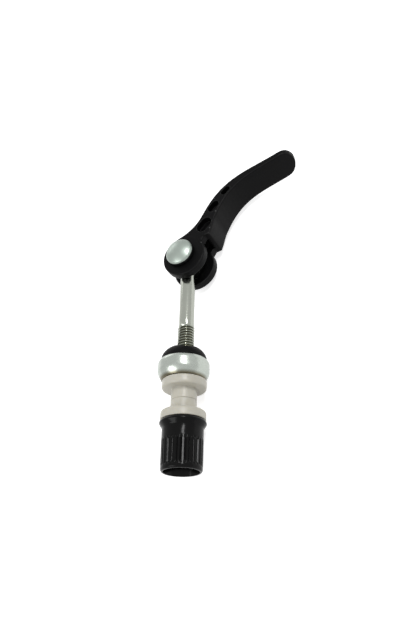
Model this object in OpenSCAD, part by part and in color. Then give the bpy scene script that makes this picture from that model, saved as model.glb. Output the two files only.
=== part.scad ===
// Seatpost quick release bolt, lying on its side.
// X runs towards the open lever, Y along the bolt from the nut to the
// lever, Z along the pivot pin. The origin is on the bolt axis, where the
// necks of the two bushes meet.

/* [Eye bolt] */
// Crest diameter of the M6 thread
thread_d = 5.9; // [5.7:0.05:6]
// Diameter of the plain shank
shank_d = 5.45; // [5:0.05:5.6]
// Threaded length of the bolt
thread_len = 41.4; // [36:0.2:46]
// Length of the plain shank, from the thread to the pivot axis
shank_len = 29.3; // [26:0.2:34]
// Diameter of the eye
eye_d = 10.8; // [9.6:0.1:11.4]
// Thickness of the eye
eye_t = 5.6; // [5:0.1:7]
// Radius of the fillets between the eye and the shank
eye_fillet = 4; // [2:0.5:6]
// Chamfer at the end of the thread
thread_chamfer = 0.7; // [0.3:0.1:1]
// Chamfer around the eye
eye_chamfer = 0.4; // [0.2:0.1:0.8]
// How far the bolt comes through the hex nut
bolt_out = 1.5; // [0:0.1:4]

/* [Pivot pin] */
// Diameter of the pin in the eye
pin_d = 5; // [4:0.1:6]
// Diameter of the domed head
head_d = 10.6; // [9:0.1:12]
// Straight rim of the domed head
head_rim = 2; // [1:0.1:2.4]
// Rise of the dome above the rim
head_dome = 1.8; // [1:0.1:3]
// Diameter of the riveted tail
tail_d = 8; // [6.4:0.1:9.6]
// Height of the riveted tail
tail_h = 1.5; // [0.8:0.1:2]

/* [Lever] */
// Width of the lever across the fork
lever_w = 12.5; // [11.4:0.05:14]
// Diameter of the two cam discs
cam_d = 16.85; // [15:0.05:18]
// Distance from the pivot axis to the centre of the discs
cam_throw = 1.05; // [0.4:0.05:1.6]
// Direction of the throw in the pose modelled, from the X axis
cam_angle = -32; // [-60:1:0]
// Rounding of the outer edges of the discs
cam_round = 0.55; // [0.3:0.05:1.2]
// Rounding of the long edges of the arm
arm_round = 0.5; // [0.3:0.1:1]
// How much narrower the arm is than the fork
arm_step = 0.1; // [0.1:0.05:0.6]
// Length over which the tip rounds off
tip_round = 4.5; // [2:0.5:6]
// Length of the first side pocket
pocket_len = 6.6; // [5.6:0.1:7.2]
// Width of the first side pocket
pocket_w = 4.4; // [3:0.1:4.8]
// Depth of the side pockets
pocket_deep = 2.7; // [1:0.1:2.8]
// Length of each pocket against the one before it
pocket_short = 0.79; // [0.6:0.01:0.9]
// Width of each pocket against the one before it
pocket_slim = 0.72; // [0.6:0.01:0.9]
// Radius of the round end of the slot
recess_r = 2.3; // [2:0.05:2.6]

/* [Saddle washer] */
// Height of the saddle washer
saddle_h = 11.45; // [11:0.05:14]
// Diameter of the flat around the hole
saddle_top_d = 8; // [7.4:0.1:9]
// Height of its straight base
saddle_base_h = 6.95; // [5:0.05:8]
// Depth of the trough in which the cams bear
saddle_trough = 1.6; // [0.5:0.1:2.4]
// Turn of the trough from the pivot pin
saddle_turn = 35; // [0:5:90]

/* [Cup washer] */
// Outside diameter of the cup
cup_d = 17.8; // [17:0.1:20]
// Height of the cup
cup_h = 7.2; // [5:0.1:8]
// Sheet thickness
cup_t = 0.8; // [0.5:0.1:1]
// Height of the cone at the bottom
cup_cone_h = 2.4; // [1.5:0.1:3]
// Width of the cone, from the flat bottom to the wall
cup_cone_w = 1.6; // [1:0.1:2]

/* [Bushes] */
// How far the flange stands inside the cup's wall
flange_in = 1.35; // [0.8:0.05:2]
// Thickness of the flange
flange_t = 3.05; // [2:0.05:4]
// Diameter of the neck that enters the lug
neck_d = 8.7; // [8.2:0.1:10]
// Length of the neck of one bush
neck_len = 3.8; // [2.5:0.1:6]
// Rounding of the flange
flange_round = 1; // [0.4:0.1:1.4]

/* [Nut] */
// Overall length of the sleeve
nut_len = 16.5; // [14:0.1:20]
// Diameter of the ribbed body
nut_d = 13.65; // [12.8:0.05:15]
// How far the collar stands out from the flange
collar_out = 0.25; // [0:0.05:1]
// Height of the collar with its taper
collar_h = 2.9; // [2.4:0.1:6]
// Wall at the open end
nut_wall = 1; // [0.8:0.1:1.2]
// Top wall over the hex nut
nut_top = 2; // [1.2:0.1:3]
// Number of grooves between the ribs
rib_count = 30; // [20:1:36]
// Length of the grooves
rib_len = 8.75; // [6:0.05:10]
// Distance from the ribs to the open end
rib_end = 1.25; // [1.15:0.05:3]
// Depth of the grooves
rib_deep = 0.35; // [0.2:0.05:0.5]
// Size of the hex nut across its flats
hex_af = 10; // [9.6:0.1:10.2]
// Height of the hex nut
hex_h = 5; // [4:0.1:5.4]

/* [Clearances] */
// Radial play of the eye on the pin
pin_play = 0.05; // [0.02:0.01:0.1]
// Radial fit of the pin in the lever
pin_fit = 0.02; // [0.01:0.01:0.05]
// Side play of the eye in the fork
fork_play = 0.12; // [0.08:0.01:0.3]
// Radial play between the thread and the hex nut
thread_play = 0.05; // [0.02:0.01:0.1]
// Radial play of the bushes and the sleeve on the bolt
slide_play = 0.2; // [0.1:0.05:0.3]
// Radial play of the two washers on the bolt
washer_play = 0.5; // [0.3:0.05:0.6]
// Radial play of the saddle washer in the cup
cup_play = 0.2; // [0.1:0.05:0.4]
// Play of the hex nut in its pocket
hex_fit = 0.03; // [0.01:0.01:0.1]
// Gap around the eye inside the fork
eye_gap = 0.4; // [0.3:0.1:0.8]
// What is left of that play on the side where the washers lie
washer_gap = 0.05; // [0.05:0.05:0.2]

/* [Hidden] */
$fn = 96;

// Places along the bolt, from the seam between the two necks
flange_y = neck_len;
cup_y = flange_y + flange_t;
saddle_y = cup_y + cup_t;
nut_y = -(neck_len + flange_t);
hex_y = nut_y - nut_top - hex_h;
bolt_y = hex_y - bolt_out;
shank_y = bolt_y + thread_len;
pivot_y = shank_y + shank_len;

slot_w = eye_t + 2 * fork_play;
bolt_hole_d = thread_d + 2 * slide_play;
washer_hole_d = thread_d + 2 * washer_play;
washer_x = washer_gap - washer_play;
saddle_d = cup_d - 2 * cup_t - 2 * cup_play;
flange_d = cup_d - 2 * flange_in;
collar_d = flange_d + 2 * collar_out;
// Corner inside the cup: its width and height, and the top of the cone
corner = [0.8, 0.5];
corner_mid = 0.3;
cone_in = cup_cone_h + 0.4 - cup_t;
hollow_r = nut_d / 2 - nut_wall;
hex_e = min(1.13 * hex_af, 2 * hollow_r - 0.2);
slot_r = eye_d / 2 + eye_gap;

// Handles of the two curved edges of the lever, seen along the pin:
// each edge is a root curve and an arm curve that share a point.
back_root = [[-5.7, 5.2], [-2.7, 8.3], [3.75, 7.05], [8.6, 16.55]];
back_arm = [[8.6, 16.55], [17.75, 33.35], [29.4, 30.7], [43.75, 37.45]];
face_root = [[11.3, 6.4], [12.9, 10.8], [12.6, 12.2], [14.1, 14.85]];
face_arm = [[14.1, 14.85], [21.05, 30.25], [30.55, 29.25], [44.05, 35.2]];
// Where the broad face ends in a shoulder over the discs
shoulder = [9.2, 6];
// The fork stays open between these two directions, for the swing
slot_back = 120;
slot_front = 25;

function bezier(p, t) = pow(1 - t, 3) * p[0] + 3 * t * pow(1 - t, 2) * p[1]
    + 3 * t * t * (1 - t) * p[2] + pow(t, 3) * p[3];

// A point between the two edges: places along each and across
function inside(back, tb, face, tf, across) =
    (1 - across) * bezier(back, tb) + across * bezier(face, tf);

// Middle and turn of each side pocket, from the fork to the tip
pockets = [[inside(back_root, 0.66, face_root, 0.52, 0.62), 47],
           [inside(back_arm, 0.06, face_arm, 0.06, 0.52), 48],
           [inside(back_arm, 0.24, face_arm, 0.24, 0.57), 43]];

// One cross-section of the arm between a back point and a face point:
// a rectangle with rounded corners, as points in space.
function section(a, b, w, r) =
    let (t = norm(b - a), u = (b - a) / t, q = min(r, 0.45 * t, 0.45 * w))
    [for (c = [[1, 1, 0], [-1, 1, 90], [-1, -1, 180], [1, -1, 270]])
        for (k = [0 : 2])
            let (g = c[2] + 45 * k,
                 s = t / 2 + c[0] * (t / 2 - q) + q * cos(g),
                 z = c[1] * (w / 2 - q) + q * sin(g))
            [a[0] + s * u[0], a[1] + s * u[1], z]];

// A solid skinned over a row of equal sections
module skin(rings) {
    n = len(rings[0]);
    m = len(rings);
    polyhedron([for (r = rings) for (p = r) p],
        concat(
            [[for (k = [n - 1 : -1 : 0]) k]],
            [for (i = [0 : m - 2]) for (k = [0 : n - 1])
                let (l = (k + 1) % n, a = i * n + k, b = i * n + l)
                for (f = [[a, b, a + n], [b, b + n, a + n]]) f],
            [[for (k = [0 : n - 1]) (m - 1) * n + k]]),
        convexity = 6);
}

// Rings of the arm: the root, the shoulder, and the curve out to the tip
root_steps = 8;
arm_steps = 18;
tip_steps = 5;
function tip_w(s) = arm_w * sqrt(max(1 - pow(s, 2.4), 0.04));
arm_len = norm(back_arm[3] - back_arm[0]);
tip_t = tip_round / arm_len;
arm_w = lever_w - arm_step;
arm_rings = concat(
    [section(bezier(back_root, 0.05), [5.6, 1.5], arm_w, arm_round),
     section(bezier(back_root, 0.16), shoulder - [0.9, 1.6], arm_w, arm_round),
     section(bezier(back_root, 0.26), shoulder, arm_w, arm_round),
     section(bezier(back_root, 0.3), face_root[0], arm_w, arm_round)],
    [for (i = [1 : root_steps])
        let (t = i / root_steps)
        section(bezier(back_root, 0.3 + 0.7 * t), bezier(face_root, t),
                arm_w, arm_round)],
    [for (i = [1 : arm_steps])
        let (t = i / arm_steps * (1 - tip_t))
        section(bezier(back_arm, t), bezier(face_arm, t), arm_w, arm_round)],
    [for (i = [1 : tip_steps])
        let (s = sin(90 * i / tip_steps), t = 1 - tip_t + tip_t * s)
        section(bezier(back_arm, t), bezier(face_arm, t), tip_w(s),
                arm_round)]);

// A bar that runs along Y
module along_y(y, len, r1, r2) {
    translate([0, y, 0]) rotate([-90, 0, 0])
        cylinder(h = len, r1 = r1, r2 = r2 == undef ? r1 : r2);
}

// Turns a profile of (radius, Y) points about the bolt axis
module turned(profile) {
    rotate([-90, 0, 0]) rotate_extrude() polygon(profile);
}

// Points of a quarter round about (x, y) from one angle to another
function arc(x, y, r, from, to, n = 5) =
    [for (i = [0 : n]) let (g = from + (to - from) * i / n)
        [x + r * cos(g), y + r * sin(g)]];

// A stadium-shaped cutter, axis along Z
module stadium(len, w, h) {
    s = len / 2 - w / 2;
    for (x = [-s, s]) translate([x, 0, 0]) cylinder(h = h, d = w);
    translate([-s, -w / 2, 0]) cube([2 * s, w, h]);
}

module disc() {
    h = (lever_w - slot_w) / 2;
    r = cam_d / 2;
    q = 0.3;
    translate([cam_throw * cos(cam_angle), cam_throw * sin(cam_angle), slot_w / 2])
        rotate_extrude()
            polygon(concat([[0, 0]], arc(r - q, q, q, -90, 0, 2),
                arc(r - cam_round, h - cam_round, cam_round, 0, 90, 4),
                [[0, h]]));
}

module lever() {
    color("#1b1b1b") translate([0, pivot_y, 0]) difference() {
        union() {
            skin(arm_rings);
            disc();
            mirror([0, 0, 1]) disc();
        }
        // bore for the pin through both discs
        translate([0, 0, -lever_w]) cylinder(h = 2 * lever_w, d = pin_d + 2 * pin_fit);
        // room for the eye and for the swing of the shank
        translate([0, 0, -slot_w / 2]) {
            cylinder(h = slot_w, r = slot_r);
            linear_extrude(slot_w)
                polygon(concat([[0, 0]],
                    [for (g = [slot_back, 180, 270, 360, 360 + slot_front])
                        1.1 * cam_d * [cos(g), sin(g)]]));
            // round end of the slot, cut into the shoulder
            translate([shoulder[0] - 1.6, shoulder[1] - 1.1, 0])
                cylinder(h = slot_w, r = recess_r);
        }
        // side pockets, smaller towards the tip
        for (side = [0, 1], k = [0 : len(pockets) - 1]) mirror([0, 0, side])
            translate([pockets[k][0][0], pockets[k][0][1], lever_w / 2 - pocket_deep])
                rotate(pockets[k][1])
                    stadium(pocket_len * pow(pocket_short, k),
                        pocket_w * pow(pocket_slim, k), lever_w);
    }
}

module pivot_pin() {
    half = lever_w / 2;
    r = head_d / 2;
    ball = (r * r + head_dome * head_dome) / (2 * head_dome);
    lift = half + head_rim + head_dome - ball;
    edge = asin((ball - head_dome) / ball);
    tr = tail_d / 2;
    color("#a9b0ad") translate([0, pivot_y, 0]) rotate_extrude() polygon(concat(
        [[0, -half - tail_h], [0.62 * tr, -half - tail_h],
         [0.9 * tr, -half - 0.7 * tail_h], [tr, -half - 0.3 * tail_h],
         [tr, -half], [pin_d / 2, -half], [pin_d / 2, half],
         [r - 0.3, half], [r, half + 0.3]],
        [for (i = [0 : 8]) let (g = edge + (90 - edge) * i / 8)
            [ball * cos(g), lift + ball * sin(g)]]));
}

module eye_bolt() {
    eye_r = eye_d / 2;
    c = eye_chamfer;
    s = shank_d / 2;
    f = s + eye_fillet;
    drop = sqrt(pow(eye_r + eye_fillet, 2) - f * f);
    touch = eye_r / (eye_r + eye_fillet);
    color("#a6aaa4") difference() {
        union() {
            along_y(bolt_y, thread_chamfer, thread_d / 2 - thread_chamfer, thread_d / 2);
            along_y(bolt_y + thread_chamfer, thread_len - thread_chamfer - 0.3, thread_d / 2);
            along_y(shank_y - 0.3, 0.3, thread_d / 2, s);
            along_y(shank_y, shank_len, s);
            translate([0, pivot_y, -eye_t / 2])
                rotate_extrude() polygon([[0, 0], [eye_r - c, 0], [eye_r, c],
                    [eye_r, eye_t - c], [eye_r - c, eye_t], [0, eye_t]]);
            translate([0, pivot_y, -s + 0.2]) difference() {
                linear_extrude(2 * s - 0.4)
                    polygon([[-s, -drop], [s, -drop], [f * touch, -drop * touch],
                        [0, 0], [-f * touch, -drop * touch]]);
                for (x = [-f, f]) translate([x, -drop, -1])
                    cylinder(h = 2 * s + 2, r = eye_fillet);
            }
        }
        translate([0, pivot_y, -eye_t]) cylinder(h = 2 * eye_t, d = pin_d + 2 * pin_play);
    }
}

module saddle_washer() {
    r = saddle_d / 2;
    top_r = saddle_top_d / 2;
    rise = saddle_h - saddle_base_h;
    color("#1d1d1c") difference() {
        translate([washer_x, saddle_y, 0]) turned(concat(
            [[washer_hole_d / 2, 0], [r - corner[0], 0], [r - corner_mid, corner[1]],
             [r, cone_in], [r, saddle_base_h]],
            [for (k = [1 : 8]) let (g = 90 * k / 8)
                [top_r + (r - top_r) * pow(cos(g), 1.5), saddle_base_h + rise * sin(g)]],
            [[washer_hole_d / 2, saddle_h]]));
        // trough of the cams' own radius
        translate([washer_x, 0, 0]) rotate([0, saddle_turn, 0])
            translate([0, saddle_y + saddle_h - saddle_trough + cam_d / 2 + 0.1, -r - 1])
                cylinder(h = 2 * r + 2, r = cam_d / 2 + 0.1);
    }
}

module cup_washer() {
    r = cup_d / 2;
    lip = 1.1;
    color("#a7ada9") translate([washer_x, cup_y, 0]) turned(concat(
        [[washer_hole_d / 2, 0], [r - cup_cone_w, 0], [r - 0.5, cup_cone_h - 0.6],
         [r, cup_cone_h + 0.6]],
        arc(r - lip, cup_h - lip, lip, 0, 78, 4),
        [[r - cup_t, cup_h - 0.1], [r - cup_t, cup_t + cone_in],
         [r - cup_t - corner_mid, cup_t + corner[1]], [r - cup_t - corner[0], cup_t],
         [washer_hole_d / 2, cup_t]]));
}

// A top-hat bush with its neck towards the seam
module bush() {
    r = flange_d / 2;
    h = neck_len + flange_t;
    turned(concat(
        [[bolt_hole_d / 2, 0.02], [neck_d / 2 - 0.2, 0.02], [neck_d / 2, 0.22], [neck_d / 2, neck_len]],
        arc(r - flange_round, neck_len + flange_round, flange_round, -90, 0, 4),
        [[r, h - 0.3], [r - 0.3, h], [bolt_hole_d / 2, h]]));
}

module upper_bush() {
    color("#d6d8cf") bush();
}

module lower_bush() {
    color("#d2d4cb") mirror([0, 1, 0]) bush();
}

module nut_sleeve() {
    r = nut_d / 2;
    c = collar_d / 2;
    seat = flange_d / 2 - 0.1;
    color("#191919") difference() {
        translate([0, nut_y, 0]) mirror([0, 1, 0]) turned([
            [0, 0], [seat - 0.3, 0], [seat, 0.3], [c - 0.05, 0.7], [c, 1],
            [c - 0.25, 1.5], [r + 0.25, collar_h - 0.6], [r, collar_h],
            [r - 0.1, nut_len - 1], [r - 0.3, nut_len - 0.4], [r - 0.8, nut_len],
            [0, nut_len]]);
        along_y(nut_y - nut_len - 1, nut_len + 2, bolt_hole_d / 2);
        // hollow of the open end, and the seat of the hex nut
        along_y(nut_y - nut_len - 1, nut_len + 1 - nut_top - hex_h, hollow_r);
        translate([0, hex_y - 0.1, 0]) intersection() {
            rotate([-90, 30, 0])
                cylinder(h = hex_h + 0.1, d = 1.1547 * hex_af + 2 * hex_fit, $fn = 6);
            along_y(0, hex_h + 0.1, hex_e / 2 + hex_fit);
        }
        // grooves between the ribs
        for (i = [0 : rib_count - 1]) rotate([0, 360 / rib_count * i, 0])
            translate([r + 0.55 - rib_deep, nut_y - nut_len + rib_end, 0]) rotate([-90, 0, 0])
                cylinder(h = rib_len, r = 0.55, $fn = 16);
    }
}

module hex_nut() {
    e = hex_e / 2;
    color("#b4b6ae") translate([0, hex_y, 0]) difference() {
        intersection() {
            rotate([-90, 30, 0]) cylinder(h = hex_h, d = 1.1547 * hex_af, $fn = 6);
            turned([[0, 0], [hex_af / 2 - 0.2, 0], [e, 0.5], [e, hex_h - 0.5],
                [hex_af / 2 - 0.2, hex_h], [0, hex_h]]);
        }
        along_y(-1, hex_h + 2, thread_d / 2 + thread_play);
    }
}

lever();
pivot_pin();
eye_bolt();
saddle_washer();
cup_washer();
upper_bush();
lower_bush();
nut_sleeve();
hex_nut();
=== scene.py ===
import bpy, math
from mathutils import Vector, Matrix


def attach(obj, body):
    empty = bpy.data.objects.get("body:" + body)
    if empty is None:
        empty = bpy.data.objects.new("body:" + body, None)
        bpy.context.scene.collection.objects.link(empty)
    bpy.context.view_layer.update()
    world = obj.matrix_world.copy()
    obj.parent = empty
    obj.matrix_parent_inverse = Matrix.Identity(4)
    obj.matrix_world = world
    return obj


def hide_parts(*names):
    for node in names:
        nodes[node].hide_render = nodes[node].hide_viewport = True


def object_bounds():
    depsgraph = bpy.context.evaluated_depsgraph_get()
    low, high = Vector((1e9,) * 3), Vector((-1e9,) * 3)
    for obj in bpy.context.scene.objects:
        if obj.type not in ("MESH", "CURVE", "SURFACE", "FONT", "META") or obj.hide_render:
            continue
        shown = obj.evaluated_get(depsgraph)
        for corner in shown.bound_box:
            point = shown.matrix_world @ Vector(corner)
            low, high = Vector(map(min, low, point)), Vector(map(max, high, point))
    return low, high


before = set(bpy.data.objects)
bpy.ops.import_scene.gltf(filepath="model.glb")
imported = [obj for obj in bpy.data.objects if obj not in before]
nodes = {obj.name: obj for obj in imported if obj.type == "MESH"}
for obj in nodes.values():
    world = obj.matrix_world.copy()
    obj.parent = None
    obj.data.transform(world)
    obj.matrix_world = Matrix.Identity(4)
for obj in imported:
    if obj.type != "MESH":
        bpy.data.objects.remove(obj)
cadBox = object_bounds()
mm = 0.001
mergeGap = 0.002 * mm  # vertices nearer than this are one
cutGap = 0.0001 * mm  # how near a cut a vertex counts as on it
print("frame loaded")


# work in edit mode

def deselectAll():
    if bpy.context.object and bpy.context.object.mode != 'OBJECT':
        bpy.ops.object.mode_set(mode='OBJECT')
    bpy.ops.object.select_all(action='DESELECT')


def activate(obj):
    deselectAll()
    obj.select_set(True)
    bpy.context.view_layer.objects.active = obj


def editMode(obj, select='DESELECT', part='VERT'):
    activate(obj)
    bpy.ops.object.mode_set(mode='EDIT')
    bpy.ops.mesh.select_mode(type=part)
    bpy.ops.mesh.select_all(action=select)


def cleanMesh(obj):
    editMode(obj, 'SELECT')
    bpy.ops.mesh.remove_doubles(threshold=mergeGap)
    bpy.ops.mesh.normals_make_consistent(inside=False)
    bpy.ops.object.mode_set(mode='OBJECT')


def applyModifier(obj, kind, **settings):
    activate(obj)
    mod = obj.modifiers.new(kind.title(), kind)
    for key, value in settings.items():
        setattr(mod, key, value)
    bpy.ops.object.modifier_apply(modifier=mod.name)


def smoothShade(obj, degrees):
    activate(obj)
    bpy.ops.object.shade_smooth_by_angle(angle=math.radians(degrees))


def cutOff(obj, place, side, fill=False):
    # clears what lies past a place along the bolt, in millimetres
    editMode(obj, 'SELECT')
    bpy.ops.mesh.bisect(plane_co=(0, place * mm, 0), plane_no=(0, side, 0), use_fill=fill,
                        clear_outer=True, threshold=cutGap)
    bpy.ops.object.mode_set(mode='OBJECT')


def drawLine(name, points):
    # points in millimetres: one vertex, pushed on from place to place
    deselectAll()
    bpy.ops.mesh.primitive_plane_add(size=mm)
    obj = bpy.context.object
    obj.name = name
    editMode(obj, 'SELECT')
    bpy.ops.mesh.merge(type='CENTER')
    bpy.ops.transform.translate(value=Vector(points[0]) * mm)
    for here, there in zip(points[:-1], points[1:]):
        step = (Vector(there) - Vector(here)) * mm
        bpy.ops.mesh.extrude_vertices_move(TRANSFORM_OT_translate={"value": step})
    bpy.ops.object.mode_set(mode='OBJECT')
    return obj


def spinPiece(name, profile, steps, axis='Y', centre=(0, 0, 0)):
    # profile holds (radius, place along the axis) pairs, both in millimetres
    cx, cy, cz = centre
    if axis == 'Y':
        points, turn = [(cx + r, along, cz) for r, along in profile], (0, 1, 0)
    else:
        points, turn = [(cx + r, cy, along) for r, along in profile], (0, 0, 1)
    obj = drawLine(name, points)
    editMode(obj, 'SELECT')
    bpy.ops.mesh.spin(steps=steps, angle=math.tau, center=Vector(centre) * mm, axis=turn)
    cleanMesh(obj)
    return obj


def arcPoints(x, y, radius, start, end, count):
    turns = [math.radians(start + (end - start) * i / count) for i in range(count + 1)]
    return [(x + radius * math.cos(turn), y + radius * math.sin(turn)) for turn in turns]


def softenProfile(points, sizes, steps=4, share=0.45):
    # rounds each corner by its own size, and by no more than a share of its shorter side
    out = []
    for i, (point, size) in enumerate(zip(points, sizes)):
        here = Vector(point)
        before = Vector(points[i - 1]) - here
        after = Vector(points[(i + 1) % len(points)]) - here
        cut = min(size, share * before.length, share * after.length)
        a = here + before.normalized() * cut
        b = here + after.normalized() * cut
        for k in range(steps + 1):
            t = k / steps
            out.append(tuple(a * (1 - t) ** 2 + here * 2 * t * (1 - t) + b * t ** 2))
    return out + [out[0]]


def copyNode(node, name):
    source = nodes[node]
    deselectAll()
    obj = source.copy()
    obj.data = source.data.copy()
    obj.name = name
    bpy.context.scene.collection.objects.link(obj)
    obj.parent = None
    obj.matrix_world = source.matrix_world.copy()
    activate(obj)
    bpy.ops.object.transform_apply(location=True, rotation=True, scale=True)
    editMode(obj, 'SELECT')
    bpy.ops.mesh.remove_doubles(threshold=mergeGap)
    bpy.ops.object.mode_set(mode='OBJECT')
    bpy.ops.mesh.customdata_custom_splitnormals_clear()  # they no longer fit the merged mesh
    return obj


def castCopy(node, name, size):
    # a cast or moulded piece: the CAD shape with its edges run soft
    obj = copyNode(node, name)
    applyModifier(obj, 'REMESH', mode='VOXEL', voxel_size=size["voxel"] * mm, adaptivity=0.0)
    applyModifier(obj, 'SMOOTH', factor=size["ease"], iterations=size["rounds"])
    activate(obj)
    bpy.ops.object.shade_smooth()
    return obj


def finishPiece(obj, body, node, material):
    obj.data.materials.clear()
    obj.data.materials.append(material)
    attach(obj, body)
    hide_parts(node)
    print("piece made:", obj.name, len(obj.data.polygons), "faces")


# shader groups shared by several finishes

def newGroup(name, inputs, outputs):
    group = bpy.data.node_groups.new(name, 'ShaderNodeTree')
    for label, kind, value in inputs:
        socket = group.interface.new_socket(name=label, in_out='INPUT', socket_type=kind)
        socket.default_value = value
    for label in outputs:
        group.interface.new_socket(name=label, in_out='OUTPUT', socket_type='NodeSocketFloat')
    return group, group.nodes.new('NodeGroupInput'), group.nodes.new('NodeGroupOutput')


def mathNode(tree, operation, first, second=None):
    node = tree.nodes.new('ShaderNodeMath')
    node.operation = operation
    for socket, value in zip(node.inputs, (first, second)):
        if value is None:
            continue
        if isinstance(value, (int, float)):
            socket.default_value = value
        else:
            tree.links.new(value, socket)
    return node.outputs[0]


def rangeNode(tree, value, start, end):
    # 0 at the start and 1 at the end, in the units of the value
    node = tree.nodes.new('ShaderNodeMapRange')
    tree.links.new(value, node.inputs['Value'])
    node.inputs['From Min'].default_value = start
    node.inputs['From Max'].default_value = end
    return node.outputs[0]


def mixColour(tree, factor, colour, other):
    node = tree.nodes.new('ShaderNodeMix')
    node.data_type = 'RGBA'
    node.inputs['B'].default_value = (*other, 1)
    tree.links.new(factor, node.inputs['Factor'])
    tree.links.new(colour, node.inputs['A'])
    return node.outputs['Result']


def makeSurfaceTone():
    # slow clouds and fine specks, for every finish
    group, given, out = newGroup("surfaceTone",
                                 [("Cloud Size", 'NodeSocketFloat', 300.0),
                                  ("Speck Size", 'NodeSocketFloat', 2500.0),
                                  ("Amount", 'NodeSocketFloat', 0.1)], ["Tone", "Speck"])
    coord = group.nodes.new('ShaderNodeTexCoord')
    noises = {}
    for size, detail in (('Cloud Size', 3), ('Speck Size', 4)):
        noise = noises[size] = group.nodes.new('ShaderNodeTexNoise')
        noise.inputs['Detail'].default_value = detail
        group.links.new(coord.outputs['Object'], noise.inputs['Vector'])
        group.links.new(given.outputs[size], noise.inputs['Scale'])
    swing = mathNode(group, 'SUBTRACT', noises['Cloud Size'].outputs[0], 0.5)  # about nought
    swing = mathNode(group, 'MULTIPLY', swing, given.outputs['Amount'])
    group.links.new(mathNode(group, 'ADD', swing, 1.0), out.inputs['Tone'])
    group.links.new(noises['Speck Size'].outputs[0], out.inputs['Speck'])
    return group


def makeToolMarks():
    # fine lines left by drawing or turning; Stretch sets which way they run
    group, given, out = newGroup("toolMarks",
                                 [("Stretch", 'NodeSocketVector', (1.0, 1.0, 1.0)),
                                  ("Size", 'NodeSocketFloat', 900.0)], ["Mark"])
    coord = group.nodes.new('ShaderNodeTexCoord')
    stretch = group.nodes.new('ShaderNodeVectorMath')
    stretch.operation = 'MULTIPLY'
    noise = group.nodes.new('ShaderNodeTexNoise')
    noise.inputs['Detail'].default_value = 2
    group.links.new(coord.outputs['Object'], stretch.inputs[0])
    group.links.new(given.outputs['Stretch'], stretch.inputs[1])
    group.links.new(stretch.outputs[0], noise.inputs['Vector'])
    group.links.new(given.outputs['Size'], noise.inputs['Scale'])
    group.links.new(noise.outputs[0], out.inputs['Mark'])
    return group


def makeEdgeRub():
    # painted highlight on the outer edges: a lighter colour by a mask from the mesh's own
    # pointiness
    group, given, out = newGroup("edgeRub",
                                 [("Start", 'NodeSocketFloat', 0.52),
                                  ("Full", 'NodeSocketFloat', 0.62)], ["Rub"])
    geometry = group.nodes.new('ShaderNodeNewGeometry')
    ramp = group.nodes.new('ShaderNodeMapRange')
    group.links.new(geometry.outputs['Pointiness'], ramp.inputs['Value'])
    group.links.new(given.outputs['Start'], ramp.inputs['From Min'])
    group.links.new(given.outputs['Full'], ramp.inputs['From Max'])
    group.links.new(ramp.outputs[0], out.inputs['Rub'])
    return group


surfaceTone = makeSurfaceTone()
toolMarks = makeToolMarks()
edgeRub = makeEdgeRub()


def placeGroup(tree, group, values):
    node = tree.nodes.new('ShaderNodeGroup')
    node.node_tree = group
    for name, value in values.items():
        node.inputs[name].default_value = value
    return node


def splitPlace(tree):
    coord = tree.nodes.new('ShaderNodeTexCoord')
    split = tree.nodes.new('ShaderNodeSeparateXYZ')
    tree.links.new(coord.outputs['Object'], split.inputs[0])
    return split.outputs


# painted highlight: the edges are mixed toward a lighter colour where the mesh is pointy
def paintEdgeHighlight(tree, colour, look):
    edgeHighlight = placeGroup(tree, edgeRub, {'Start': look['edgeHighlightStart'], 'Full': look['edgeHighlightFull']})
    amount = mathNode(tree, 'MULTIPLY', edgeHighlight.outputs['Rub'], look['edgeHighlightAmount'])
    return mixColour(tree, amount, colour, look['edgeHighlight'])


def paintShadeBand(tree, colour, shadeBand):
    # painted shade: another tone beyond a place along one axis
    axis, start, full, toned = shadeBand
    return mixColour(tree, rangeNode(tree, splitPlace(tree)[axis], start * mm, full * mm),
                     colour, toned)


def paintGrooveShade(tree, colour, grooves):
    # painted shade at the foot of a thread, up to where the thread ends
    foot, crest, start, end, toned = grooves
    place = splitPlace(tree)
    radius = mathNode(tree, 'ADD', mathNode(tree, 'MULTIPLY', place['X'], place['X']),
                      mathNode(tree, 'MULTIPLY', place['Z'], place['Z']))
    deep = rangeNode(tree, mathNode(tree, 'SQRT', radius), crest * mm, foot * mm)
    below = rangeNode(tree, place['Y'], end * mm, start * mm)
    return mixColour(tree, mathNode(tree, 'MULTIPLY', deep, below), colour, toned)


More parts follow.
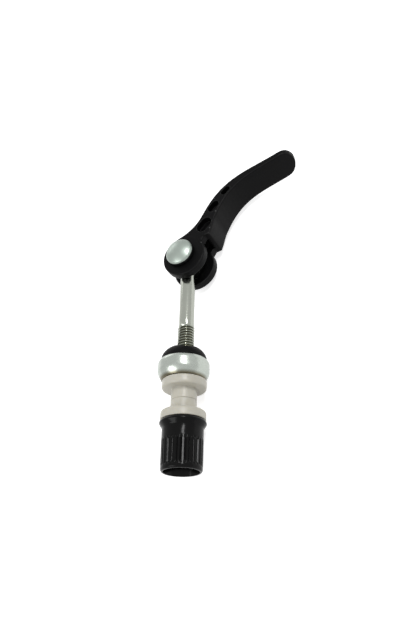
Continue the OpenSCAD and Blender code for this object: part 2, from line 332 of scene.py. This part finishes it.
def makeFinish(name, look):
    mat = bpy.data.materials.new(name)
    mat.use_nodes = True
    tree = mat.node_tree
    shader = tree.nodes["Principled BSDF"]
    for socket, key, usual in (('Metallic', 'metal', 0.0), ('IOR', 'ior', 1.5),
                               ('Subsurface Weight', 'depth', 0.0)):
        shader.inputs[socket].default_value = look.get(key, usual)
    shader.inputs['Subsurface Radius'].default_value = (1.0, 0.85, 0.6)  # red goes deepest
    shader.inputs['Subsurface Scale'].default_value = 1.5 * mm  # how deep light goes

    tone = placeGroup(tree, surfaceTone, {'Cloud Size': look.get('cloud', 250),
                                          'Speck Size': look['speck'], 'Amount': look['vary']})
    tint = tree.nodes.new('ShaderNodeVectorMath')  # the colour, a little lighter and darker
    tint.operation = 'SCALE'
    tint.inputs[0].default_value = look['colour']
    tree.links.new(tone.outputs['Tone'], tint.inputs['Scale'])
    colour = tint.outputs[0]
    # painted highlight on the edges
    if 'edgeHighlight' in look:
        colour = paintEdgeHighlight(tree, colour, look)
    # painted shade in a band
    if 'shadeBand' in look:
        colour = paintShadeBand(tree, colour, look['shadeBand'])
    # painted shade in the thread roots
    if 'grooves' in look:
        colour = paintGrooveShade(tree, colour, look['grooves'])
    tree.links.new(colour, shader.inputs['Base Color'])

    spread = look.get('roughVary', 0.05)
    rough = tree.nodes.new('ShaderNodeMapRange')  # the specks' middle range sets the gloss
    for socket, value in (('From Min', 0.3), ('From Max', 0.7), ('To Min', look['rough'] - spread),
                          ('To Max', look['rough'] + spread)):
        rough.inputs[socket].default_value = value
    tree.links.new(tone.outputs['Speck'], rough.inputs['Value'])
    tree.links.new(rough.outputs[0], shader.inputs['Roughness'])

    height = tone.outputs['Speck']
    if 'marks' in look:
        marks = placeGroup(tree, toolMarks, {'Stretch': look['marks'], 'Size': look['markSize']})
        height = mathNode(tree, 'ADD', height, marks.outputs['Mark'])
    bump = tree.nodes.new('ShaderNodeBump')
    bump.inputs['Strength'].default_value = look.get('bump', 0.15)
    bump.inputs['Distance'].default_value = look.get('bumpDepth', 0.05) * mm
    tree.links.new(height, bump.inputs['Height'])
    tree.links.new(bump.outputs['Normal'], shader.inputs['Normal'])
    return mat


# the band of painted shade: axis, where it starts, where it is full, tone
# the grooves' painted shade: foot and crest radius, where it is full and where it ends, tone
finishLooks = {
    # the lever's outer edges carry a painted highlight of a lighter grey
    "leverBlack": dict(colour=(0.003, 0.003, 0.0032), rough=0.42, roughVary=0.06, ior=1.14,
                       speck=2600, vary=0.35, bump=0.35, bumpDepth=0.03,
                       edgeHighlight=(0.12, 0.12, 0.12), edgeHighlightAmount=0.5, edgeHighlightStart=0.515, edgeHighlightFull=0.57),
    # the pin head's side wall below the dome gets painted shade, a dark reflection of the black
    # lever
    "pinSteel": dict(colour=(0.31, 0.352, 0.32), metal=1.0, rough=0.4, speck=1500, vary=0.08,
                     bump=0.05, shadeBand=('Z', 8.05, 7.85, (0.02, 0.02, 0.021))),
    # the thread's roots get painted shade, darker toward the foot of the thread
    "boltSteel": dict(colour=(0.34, 0.355, 0.315), metal=1.0, rough=0.15, roughVary=0.03,
                      speck=2000, vary=0.14, cloud=180, bump=0.015, marks=(1, 0.06, 1),
                      markSize=3500, grooves=(2.4, 2.9, 26.6, 27.6, (0.12, 0.12, 0.085))),
    "saddleBlack": dict(colour=(0.005, 0.005, 0.005), rough=0.5, ior=1.14, speck=1800,
                        vary=0.3, bump=0.2),
    # the cup's underside, where it turns toward the flange, gets painted shade and a dark
    # reflection
    "cupSteel": dict(colour=(0.39, 0.42, 0.385), metal=1.0, rough=0.27, speck=1200, vary=0.1,
                     bump=0.03, marks=(0.2, 2.2, 0.2), markSize=900,
                     shadeBand=('Y', 8.4, 7.4, (0.12, 0.11, 0.075))),
    "nylonWhite": dict(colour=(0.55, 0.53, 0.458), rough=0.38, depth=0.25, speck=900,
                       vary=0.06, bump=0.08),
    "sleeveBlack": dict(colour=(0.003, 0.003, 0.003), rough=0.17, ior=1.2, speck=1600,
                        vary=0.2, bump=0.06),
    "nutSteel": dict(colour=(0.36, 0.36, 0.33), metal=1.0, rough=0.35, speck=1500, vary=0.15),
}
finishes = {name: makeFinish(name, look) for name, look in finishLooks.items()}
print("finishes made")


# eye bolt: a real thread, run out into the plain shank and the eye

boltSizes = {"crest": 2.95, "root": 2.36, "pitch": 1.0, "flat": 0.13, "steps": 40,
             "start": -15.35, "chamfer": 0.8, "shankStart": 27.9, "shankRadius": 2.725,
             "runOut": 0.8, "joinAt": 30.0, "spareTurns": 2, "smoothBelow": 32}


def makeThread(size):
    pitch, root, crest, flat = size["pitch"], size["root"], size["crest"], size["flat"]
    below = size["start"] - size["spareTurns"] * pitch
    turns = int((size["shankStart"] - below) / pitch) + size["spareTurns"]
    tooth = [(root, 0), (root, flat), (crest, 0.5 - flat / 2),
             (crest, 0.5 + flat / 2), (root, 1 - flat), (root, 1)]
    bolt = drawLine("threadedEyeBolt", [(r, below + share * pitch, 0) for r, share in tooth])
    applyModifier(bolt, 'SCREW', axis='Y', angle=math.tau, steps=size["steps"],
                  render_steps=size["steps"], iterations=turns, screw_offset=pitch * mm,
                  use_merge_vertices=True, merge_threshold=mergeGap, use_smooth_shade=True)
    cleanMesh(bolt)
    cutOff(bolt, size["start"], -1, fill=True)
    cutOff(bolt, size["shankStart"], 1)
    for vert in bolt.data.vertices:
        r, y = math.hypot(vert.co.x, vert.co.z) / mm, vert.co.y / mm
        new = min(r, crest - size["chamfer"] + max(0.0, y - size["start"]))  # chamfered end
        out = (y - size["shankStart"] + size["runOut"]) / size["runOut"]
        out = min(1.0, max(0.0, out))
        new += (size["shankRadius"] - new) * out * out * (3 - 2 * out)  # runs out in the shank
        vert.co.x *= new / r
        vert.co.z *= new / r
    return bolt


def makeEyeBolt(size):
    bolt = makeThread(size)
    eye = copyNode("eye_bolt", "eyeEnd")  # the eye is the CAD piece's, cut off on the shank
    cutOff(eye, size["joinAt"], -1)
    activate(eye)
    bolt.select_set(True)
    bpy.context.view_layer.objects.active = bolt
    bpy.ops.object.join()
    editMode(bolt, 'DESELECT', 'EDGE')
    bpy.ops.mesh.select_non_manifold(extend=False)  # the two open rims of the shank
    bpy.ops.mesh.bridge_edge_loops()
    bpy.ops.object.mode_set(mode='OBJECT')
    cleanMesh(bolt)
    smoothShade(bolt, size["smoothBelow"])
    return bolt


finishPiece(makeEyeBolt(boltSizes), "bolt", "eye_bolt", finishes["boltSteel"])


# lever, cast

# ease: how far each of the smoothing rounds moves a point
leverSizes = {"voxel": 0.2, "ease": 0.5, "rounds": 5}
lever = castCopy("lever", "castLever", leverSizes)
finishPiece(lever, "lever", "lever", finishes["leverBlack"])


# pivot pin: domed head, shaft and peened tail

pinSizes = {"pivot": 55.35, "half": 6.25, "shaft": 2.5, "head": 5.3, "rim": 2.0, "dome": 1.8,
            "domeFrom": 3, "domeSteps": 14, "footBreak": 0.2, "rimBreak": 0.25,
            "tail": 4.0, "tailHeight": 1.5, "tailBreak": 0.15,
            # the peened end, in shares of tail and of tailHeight
            "tailCurve": [(0, 1), (0.55, 1), (0.85, 0.8), (0.98, 0.45)],
            "steps": 112, "smoothBelow": 40}


def makePivotPin(size):
    half, head, tail = size["half"], size["head"], size["tail"]
    ball = (head ** 2 + size["dome"] ** 2) / (2 * size["dome"])
    lift = half + size["rim"] + size["dome"] - ball
    edge = math.degrees(math.asin((ball - size["dome"]) / ball))
    profile = [(across * tail, -half - height * size["tailHeight"])
               for across, height in size["tailCurve"]]
    profile += [(tail, -half - size["footBreak"]), (tail - size["tailBreak"], -half),
                (size["shaft"], -half), (size["shaft"], half),
                (head - size["footBreak"], half), (head, half + size["footBreak"]),
                (head, half + size["rim"] - size["rimBreak"])]
    profile += arcPoints(0, lift, ball, edge + size["domeFrom"], 90, size["domeSteps"])
    pin = spinPiece("domedPin", profile, size["steps"], 'Z', (0, size["pivot"], 0))
    smoothShade(pin, size["smoothBelow"])
    return pin


finishPiece(makePivotPin(pinSizes), "lever", "pivot_pin", finishes["pinSteel"])


# saddle washer, moulded

saddleSizes = {"voxel": 0.16, "ease": 0.5, "rounds": 4}
saddle = castCopy("saddle_washer", "mouldedSaddle", saddleSizes)
finishPiece(saddle, "saddle_washer", "saddle_washer", finishes["saddleBlack"])


# cup washer: pressed sheet with a rolled lip

cupSizes = {"start": 6.87, "side": -0.45, "radius": 8.9, "height": 7.18, "sheet": 0.8,
            "cone": 2.4, "coneWidth": 1.6, "hole": 3.45, "shoulder": 0.5, "bend": 0.6,
            "lip": 1.1, "lipTurn": 0.32, "lipShare": 0.9, "lipDrop": 0.1, "innerBend": 0.4,
            "fillet": (0.3, 0.5), "floorIn": 0.8, "steps": 128, "smoothBelow": 40,
            "soft": [0.12, 0.5, 0.9, 0.9, 0.5, 0.5, 0.3, 0.1, 0.3, 0.25, 0.2, 0.12]}


def makeCup(size):
    r, h, sheet, cone = size["radius"], size["height"], size["sheet"], size["cone"]
    wall = r - sheet
    outer = [(size["hole"], 0), (r - size["coneWidth"], 0),
             (r - size["shoulder"], cone - size["bend"]), (r, cone + size["bend"]),
             (r, h - size["lip"]), (r - size["lipTurn"], h - size["lipTurn"]),
             (r - sheet * size["lipShare"], h)]
    inner = [(wall, h - size["lipDrop"]), (wall, cone + size["innerBend"]),
             (wall - size["fillet"][0], sheet + size["fillet"][1]),
             (wall - size["floorIn"], sheet), (size["hole"], sheet)]
    line = softenProfile(outer + inner, size["soft"])
    cup = spinPiece("pressedCup", [(x, size["start"] + y) for x, y in line], size["steps"],
                    centre=(size["side"], 0, 0))
    smoothShade(cup, size["smoothBelow"])
    return cup


finishPiece(makeCup(cupSizes), "cup_washer", "cup_washer", finishes["cupSteel"])


# the two bushes, the same moulding both ways up

bushSizes = {"bore": 3.15, "neck": 4.35, "neckLength": 3.8, "flange": 7.55, "thick": 3.05,
             "apart": 0.02, "soft": [0.15, 0.22, 0.25, 1.0, 0.3, 0.15], "steps": 112,
             "smoothBelow": 40}


def makeBush(name, size, side):
    bore, neck, flange = size["bore"], size["neck"], size["flange"]
    low, foot, top = size["apart"], size["neckLength"], size["neckLength"] + size["thick"]
    corners = [(bore, low), (neck, low), (neck, foot), (flange, foot), (flange, top), (bore, top)]
    line = softenProfile(corners, size["soft"])
    bush = spinPiece(name, [(x, side * y) for x, y in line], size["steps"])
    smoothShade(bush, size["smoothBelow"])
    return bush


for name, side, body in (("upperFlangedBush", 1, "upper_bush"),
                         ("lowerFlangedBush", -1, "lower_bush")):
    finishPiece(makeBush(name, bushSizes, side), body, body,
                finishes["nylonWhite"])


# nut sleeve: turned form, then the ribs are drawn into its skirt

sleeveSizes = {
    "top": -6.87, "length": 16.48, "body": 6.825, "collar": 7.8, "seat": 7.45, "bore": 3.15,
    # curves: out from the seat, collar, body or hollow, and down from the top or up from the end
    "seatCurve": [(-0.25, 0), (0, 0.25)],
    "collarCurve": [(-0.06, 0.7), (0, 1.0), (-0.06, 1.25), (-0.25, 1.5)],
    "waistCurve": [(0.5, 2.0), (0.25, 2.3), (0.08, 2.6), (0, 2.9), (0, 4.5)],
    "endCurve": [(-0.12, 0.75), (-0.2, 0.4), (-0.36, 0.16), (-0.6, 0.03), (-0.8, 0)],
    "skirtIn": 0.01, "taper": 0.09, "skirtRows": 26,
    "hollow": 5.825, "hollowCurve": [(0.06, 0.04), (0, 0.15)], "seatStep": (0.02, 0.1),
    "hexTop": -8.85, "hexBottom": -13.85, "hexFlat": 5.03, "hexPast": 0.2, "hexBreak": 0.3,
    "ribs": 30, "perRib": 10, "ribDepth": 0.38, "ribFrom": -21.9, "ribTo": -13.2,
    "ribLead": 0.4, "ribPast": 0.25, "ribEase": (0.5, 0.9), "ribSharp": 0.8,
    "skin": 0.5,  # what lies further out from the hollow than this is the outside
    "smoothBelow": 38}


def sleeveProfile(size):
    top, bottom, body = size["top"], size["top"] - size["length"], size["body"]
    bore, hollow, rib = size["bore"], size["hollow"], size["ribFrom"] - size["ribTo"]
    outside = [(bore, top)]
    for base, curve in (("seat", "seatCurve"), ("collar", "collarCurve"), ("body", "waistCurve")):
        outside += [(size[base] + out, top - down) for out, down in size[curve]]
    outside.append((body - size["skirtIn"], size["ribTo"] + size["ribLead"]))
    shares = [i / size["skirtRows"] for i in range(size["skirtRows"] + 1)]
    skirt = [(body - size["skirtIn"] - size["taper"] * share, size["ribTo"] + rib * share)
             for share in shares]
    end = [(body - size["skirtIn"] - size["taper"], size["ribFrom"] - size["ribPast"])]
    end += [(body + out, bottom + up) for out, up in size["endCurve"]]
    end += [(hollow + out, bottom + up) for out, up in size["hollowCurve"]]
    stepIn, stepDown = size["seatStep"]
    inside = [(hollow, size["hexBottom"] - stepDown), (hollow - stepIn, size["hexBottom"]),
              (bore, size["hexBottom"]), (bore, top)]
    return outside + skirt + end + inside


def pressRibs(sleeve, size):
    # the skirt is pressed in between the ribs, most near the middle of each groove
    low, high = size["ribEase"]
    for vert in sleeve.data.vertices:
        x, y, z = vert.co / mm
        radius = math.hypot(x, z)
        inRibs = size["ribFrom"] <= y <= size["ribTo"]
        if radius < size["hollow"] + size["skin"] or not inRibs:
            continue
        ease = min(1.0, (y - size["ribFrom"]) / low, (size["ribTo"] - y) / high)
        phase = (math.atan2(z, x) * size["ribs"] / math.tau) % 1.0
        groove = max(0.0, math.cos((phase - 0.5) * math.tau)) ** size["ribSharp"]
        shrink = 1 - size["ribDepth"] * ease * groove / radius
        vert.co.x *= shrink
        vert.co.z *= shrink


def cutHexPocket(sleeve, size):
    deselectAll()
    depth = (size["hexTop"] - size["hexBottom"] + size["hexPast"]) * mm
    radius = size["hexFlat"] / math.cos(math.pi / 6) * mm
    bpy.ops.mesh.primitive_cylinder_add(vertices=6, radius=radius, depth=depth,
                                        location=(0, size["hexTop"] * mm - depth / 2, 0),
                                        rotation=(math.pi / 2, 0, 0))
    pocket = bpy.context.object
    applyModifier(pocket, 'BEVEL', width=size["hexBreak"] * mm, segments=1)
    bpy.ops.object.transform_apply(location=True, rotation=True, scale=True)
    applyModifier(sleeve, 'BOOLEAN', object=pocket, operation='DIFFERENCE', solver='EXACT')
    activate(pocket)
    bpy.ops.object.delete()


def makeSleeve(size):
    sleeve = spinPiece("ribbedSleeve", sleeveProfile(size), size["ribs"] * size["perRib"])
    pressRibs(sleeve, size)
    cutHexPocket(sleeve, size)
    smoothShade(sleeve, size["smoothBelow"])
    return sleeve


finishPiece(makeSleeve(sleeveSizes), "nut", "nut_sleeve", finishes["sleeveBlack"])


# the hex nut stays as it is, with its finish

nodes["hex_nut"].data.materials.clear()
nodes["hex_nut"].data.materials.append(finishes["nutSteel"])


# camera, as in the photograph

photoView = {"place": (82.98, -66.05, 156.47), "right": (0.90690953, 0.01033285, -0.42119869),
             "up": (0.19728913, 0.87291103, 0.44620996), "focalPixels": 563.93,
             "tallPixels": 630, "sensor": 36, "sees": (0.005, 20)}


def placeCamera(view):
    data = bpy.data.cameras.new("photoCamera")
    camera = bpy.data.objects.new("photoCamera", data)
    bpy.context.scene.collection.objects.link(camera)
    right, up = Vector(view["right"]).normalized(), Vector(view["up"]).normalized()
    turn = Matrix((right, up, right.cross(up))).transposed().to_4x4()
    camera.matrix_world = Matrix.Translation(Vector(view["place"]) * mm) @ turn
    data.sensor_width = view["sensor"]
    data.lens = data.sensor_width * view["focalPixels"] / view["tallPixels"]
    data.clip_start, data.clip_end = view["sees"]
    bpy.context.scene.camera = camera


placeCamera(photoView)
print("camera placed")


# floor, surroundings and lamps

stageLooks = {"floorSize": 3.0, "floorDrop": 0.02, "floorColour": 0.8, "floorRough": 0.9,
              "floorGlow": 0.7, "around": 0.34, "lampAim": (0, 20, 0)}
lampSizes = {
    # name: direction from the object, distance, width, height, power
    "keyBox": ((0.46, 0.26, 0.85), 0.6, 0.24, 0.095, 1.6),
    "topLeft": ((-0.6, 0.72, 0.25), 0.7, 0.35, 0.2, 0.4),
    "lowFront": ((-0.42, -0.52, 0.74), 0.7, 0.4, 0.3, 1.6),
}


def backgroundSeen(tree):
    # 1 for the camera and for what metal and glass show, 0 for light on the object
    path = tree.nodes.new('ShaderNodeLightPath')
    seen = mathNode(tree, 'MAXIMUM', path.outputs['Is Camera Ray'], path.outputs['Is Glossy Ray'])
    return mathNode(tree, 'MAXIMUM', seen, path.outputs['Is Transmission Ray'])


def paleMaterial(name, look):
    mat = bpy.data.materials.new(name)
    mat.use_nodes = True
    tree = mat.node_tree
    shader = tree.nodes["Principled BSDF"]
    shader.inputs['Base Color'].default_value = (look["floorColour"],) * 3 + (1,)
    shader.inputs['Roughness'].default_value = look["floorRough"]
    shader.inputs['Specular IOR Level'].default_value = 0.0
    shader.inputs['Emission Color'].default_value = (1, 1, 1, 1)
    tree.links.new(mathNode(tree, 'MULTIPLY', backgroundSeen(tree), look["floorGlow"]),
                   shader.inputs['Emission Strength'])
    return mat


def buildFloor(look):
    deselectAll()
    bpy.ops.mesh.primitive_plane_add(size=look["floorSize"],
                                     location=(0, 0, cadBox[0][2] - look["floorDrop"] * mm))
    floor = bpy.context.object
    floor.name = "paleFloor"
    bpy.ops.object.transform_apply(location=True, rotation=True, scale=True)
    floor.data.materials.append(paleMaterial("floorWhite", look))


def buildSurroundings(look):
    world = bpy.data.worlds.new("studio")
    bpy.context.scene.world = world
    world.use_nodes = True
    tree = world.node_tree
    tree.nodes.clear()
    out = tree.nodes.new('ShaderNodeOutputWorld')
    mix = tree.nodes.new('ShaderNodeMixShader')
    tree.links.new(backgroundSeen(tree), mix.inputs[0])
    for k, strength in ((1, look["around"]), (2, 1.0)):
        back = tree.nodes.new('ShaderNodeBackground')
        back.inputs[0].default_value = (1, 1, 1, 1)
        back.inputs[1].default_value = strength
        tree.links.new(back.outputs[0], mix.inputs[k])
    tree.links.new(mix.outputs[0], out.inputs[0])


def addLamp(name, aim, direction, distance, width, height, power):
    data = bpy.data.lights.new(name, 'AREA')
    data.shape = 'RECTANGLE'
    data.size, data.size_y, data.energy = width, height, power
    lamp = bpy.data.objects.new(name, data)
    bpy.context.scene.collection.objects.link(lamp)
    towards = Vector(direction).normalized()
    lamp.location = Vector(aim) * mm + towards * distance
    lamp.rotation_euler = towards.to_track_quat('Z', 'Y').to_euler()


buildFloor(stageLooks)
buildSurroundings(stageLooks)
for lampName, values in lampSizes.items():
    addLamp(lampName, stageLooks["lampAim"], *values)
print("stage and lamps set")

bpy.context.scene.view_settings.view_transform = 'Standard'
